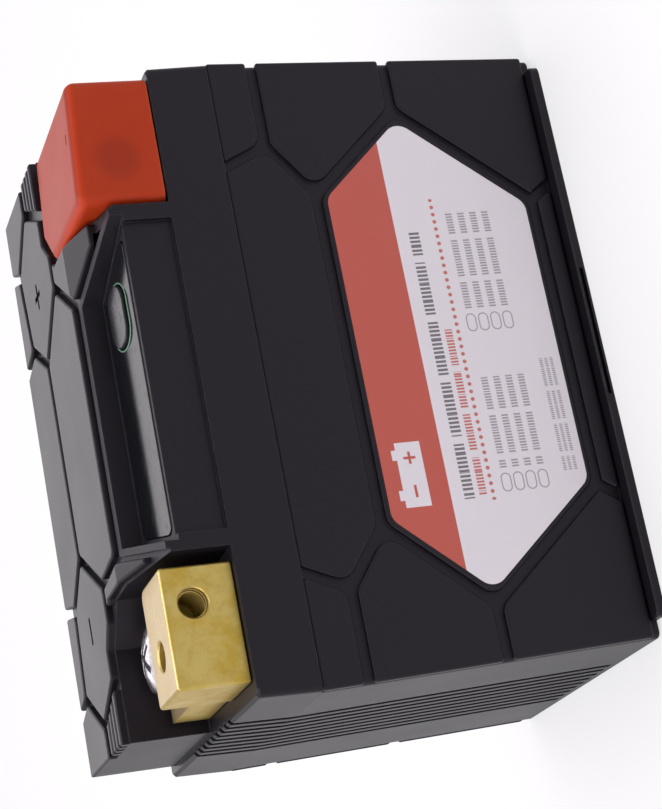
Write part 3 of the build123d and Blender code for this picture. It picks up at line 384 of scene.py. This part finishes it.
# ---------------------------------------------------------------- mesh pieces
def new_piece(name, vertices, faces, body, finish, slot=None):
    """Closed mesh from vertices in millimetres, riding on a CAD body."""
    mesh = bpy.data.meshes.new(name)
    mesh.from_pydata([Vector(v) * MM for v in vertices], [], faces)
    mesh.update()
    piece = bpy.data.objects.new(name, mesh)
    bpy.context.scene.collection.objects.link(piece)
    mesh.shade_smooth()
    mesh.materials.append(finish.material)
    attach(piece, body)
    return piece


def sweep(sections, closed):
    """Vertices and faces of a skin over rings of points, joined in a loop or capped at both ends."""
    count = len(sections[0])
    vertices = [point for ring in sections for point in ring]
    faces = []
    last = len(sections) if closed else len(sections) - 1
    for i in range(last):
        a, b = i * count, (i + 1) % len(sections) * count
        for j in range(count):
            k = (j + 1) % count
            faces.append((a + j, b + j, b + k, a + k))
    if not closed:
        end = (len(sections) - 1) * count
        faces.append(tuple(range(count)))
        faces.append(tuple(reversed(range(end, end + count))))
    return vertices, faces


def thread_ridge(name, centre, axis, radius, depth, body, pitch=1.0, proud=0.32):
    """Helical crest inside a tapped hole; axis points into the block."""
    axis = Vector(axis)
    side = axis.orthogonal().normalized()
    up = axis.cross(side)
    steps = 36
    turns = int((depth - pitch) / pitch)
    sections = []
    for i in range(turns * steps + 1):
        angle = 2 * math.pi * i / steps
        out = side * math.cos(angle) + up * math.sin(angle)
        fade = min(1.0, i / steps * 2, (turns * steps - i) / steps * 2)
        along = Vector(centre) + axis * (pitch * (0.75 + i / steps))
        crest = radius - proud * fade
        sections.append([tuple(along + axis * da + out * r) for da, r in (
            (-0.44 * pitch, radius + 0.05), (-0.07 * pitch, crest), (0.07 * pitch, crest),
            (0.44 * pitch, radius + 0.05))])
    return new_piece(name, *sweep(sections, False), body, brass, "brass")


def oval_path(x, y, length, width, steps=20):
    """Points round a level slot shape, with the outward direction at each."""
    radius = width / 2
    points = []
    for end in (1, -1):
        for i in range(steps + 1):
            angle = math.pi * (i / steps - 0.5) + (0 if end > 0 else math.pi)
            out = (math.cos(angle), math.sin(angle))
            points.append(((x + end * (length / 2 - radius) + out[0] * radius, y + out[1] * radius), out))
    return points


def window_slope():
    """Front and back points, in millimetres, of the sloping window's face."""
    window = frame["nodes"]["indicator_window"]
    points = [window.matrix_world @ v.co / MM for v in window.data.vertices]
    edge = min(p.y for p in points) + 0.5
    return max((p for p in points if p.y < edge), key=lambda p: p.z), max(points, key=lambda p: p.z)


def button_ring():
    """Thin green lens round the test button, let into the window."""
    low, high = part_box("test_button")
    centre = (low + high) / 2 / MM
    length, width = (high.x - low.x) / MM + 0.6, (high.y - low.y) / MM + 0.6
    section = [(0.0, -0.3), (0.0, 0.03), (0.08, 0.1), (0.2, 0.1), (0.28, 0.02), (0.28, -0.3)]
    front, back = window_slope()
    rise = (back.z - front.z) / (back.y - front.y)
    rings = [[(px + ox * r, py + oy * r, front.z + (py + oy * r - front.y) * rise + h) for r, h in section]
             for (px, py), (ox, oy) in oval_path(centre.x, centre.y, length, width)]
    vertices, faces = sweep(rings, True)
    return new_piece("button_ring", vertices, faces, "battery", plain("green_ring_lens", RING_GREEN, 0.25))


button_ring()
for mount in frame["record"]["mounts"]:
    if "thread" in mount["name"]:
        out, length = Vector(mount["axis"]), mount["dims"]["length_mm"]
        mouth = Vector(mount["pos_m"]) / MM + out * (length / 2 - 0.1)
        thread_ridge(mount["name"] + "_ridge", mouth, -out, mount["dims"]["r_mm"], length - 1, "battery")

# ---------------------------------------------------------------- stage, lamps and camera
bpy.context.scene.view_settings.view_transform = "Standard"
FLOOR_PALE = (0.82, 0.82, 0.83, 1)
FLOOR_GLOW = 0.62        # how far the floor is shown as white to the camera and in reflections
SKY_TINT = (0.99, 0.95, 1.0, 1)
LAMP_TINT = (1.0, 0.94, 1.0)


def stage_floor():
    """Pale floor that the object stands on."""
    size, rows = 3.0, 8
    step, line = size / rows, rows + 1
    vertices = [(-size / 2 + i * step, -size / 2 + j * step, 0.0) for j in range(line) for i in range(line)]
    corners = [j * line + i for j in range(rows) for i in range(rows)]
    faces = [(c, c + 1, c + 1 + line, c + line) for c in corners]
    mesh = bpy.data.meshes.new("floor")
    mesh.from_pydata(vertices, [], faces)
    floor = bpy.data.objects.new("floor", mesh)
    bpy.context.scene.collection.objects.link(floor)
    material = bpy.data.materials.new("pale_floor")
    material.use_nodes = True
    nodes, links = material.node_tree.nodes, material.node_tree.links
    nodes.clear()
    diffuse = nodes.new("ShaderNodeBsdfDiffuse")
    diffuse.inputs["Color"].default_value = FLOOR_PALE
    glow = nodes.new("ShaderNodeEmission")
    glow.inputs["Color"].default_value = (1, 1, 1, 1)
    path = nodes.new("ShaderNodeLightPath")
    mix = nodes.new("ShaderNodeMixShader")
    seen = nodes.new("ShaderNodeMath")
    seen.operation = "MAXIMUM"
    out = nodes.new("ShaderNodeOutputMaterial")
    links.new(path.outputs["Is Camera Ray"], seen.inputs[0])
    links.new(path.outputs["Is Glossy Ray"], seen.inputs[1])
    share = nodes.new("ShaderNodeMath")
    share.operation = "MULTIPLY"
    share.inputs[1].default_value = FLOOR_GLOW
    links.new(seen.outputs[0], share.inputs[0])
    links.new(share.outputs[0], mix.inputs[0])
    links.new(diffuse.outputs[0], mix.inputs[1])
    links.new(glow.outputs[0], mix.inputs[2])
    links.new(mix.outputs[0], out.inputs["Surface"])
    mesh.materials.append(material)


def world_light(strength):
    """Even pale surroundings, seen as white."""
    world = bpy.data.worlds.new("studio")
    bpy.context.scene.world = world
    world.use_nodes = True
    nodes, links = world.node_tree.nodes, world.node_tree.links
    nodes.clear()
    path = nodes.new("ShaderNodeLightPath")
    seen = nodes.new("ShaderNodeMath")
    seen.operation = "MAXIMUM"
    light = nodes.new("ShaderNodeBackground")
    light.inputs["Color"].default_value = SKY_TINT
    light.inputs["Strength"].default_value = strength
    white = nodes.new("ShaderNodeBackground")
    white.inputs["Strength"].default_value = 1.0
    mix = nodes.new("ShaderNodeMixShader")
    out = nodes.new("ShaderNodeOutputWorld")
    also = nodes.new("ShaderNodeMath")
    also.operation = "MAXIMUM"
    links.new(path.outputs["Is Camera Ray"], seen.inputs[0])
    links.new(path.outputs["Is Transmission Ray"], seen.inputs[1])
    links.new(seen.outputs[0], also.inputs[0])
    links.new(path.outputs["Is Glossy Ray"], also.inputs[1])
    links.new(also.outputs[0], mix.inputs[0])
    links.new(light.outputs[0], mix.inputs[1])
    links.new(white.outputs[0], mix.inputs[2])
    links.new(mix.outputs[0], out.inputs["Surface"])


def area_lamp(name, place, aim, size, power):
    """Soft square lamp aimed at a point; places in metres."""
    data = bpy.data.lights.new(name, "AREA")
    data.shape = "RECTANGLE"
    data.size, data.size_y = size
    data.energy = power
    data.color = LAMP_TINT
    lamp = bpy.data.objects.new(name, data)
    bpy.context.scene.collection.objects.link(lamp)
    lamp.location = place
    lamp.rotation_euler = (Vector(aim) - Vector(place)).to_track_quat("-Z", "Y").to_euler()
    return lamp


stage_floor()
world_light(0.5)
MIDDLE = (0.0, 0.0, 0.045)
area_lamp("top_soft", (0.0, 0.1, 0.9), MIDDLE, (0.7, 0.7), 6.8)
area_lamp("side_soft", (-0.8, -0.2, 0.5), MIDDLE, (0.6, 0.5), 2.6)
area_lamp("back_soft", (0.3, 0.9, 0.45), MIDDLE, (0.8, 0.5), 1.5)

# the view is rolled a quarter turn, so that the top of the battery points left
camera_data = bpy.data.cameras.new("camera")
camera_data.lens = 104.06
camera_data.sensor_width = 36
camera_data.clip_start = 0.01
camera = bpy.data.objects.new("camera", camera_data)
bpy.context.scene.collection.objects.link(camera)
right = Vector((-0.18486, -0.26680, -0.94586))
down = Vector((-0.93680, 0.33874, 0.08754))
turn = Matrix((right, -down, right.cross(-down))).transposed()
camera.matrix_world = Matrix.Translation((-0.12651, -0.39091, 0.17526)) @ turn.to_4x4()
bpy.context.scene.camera = camera
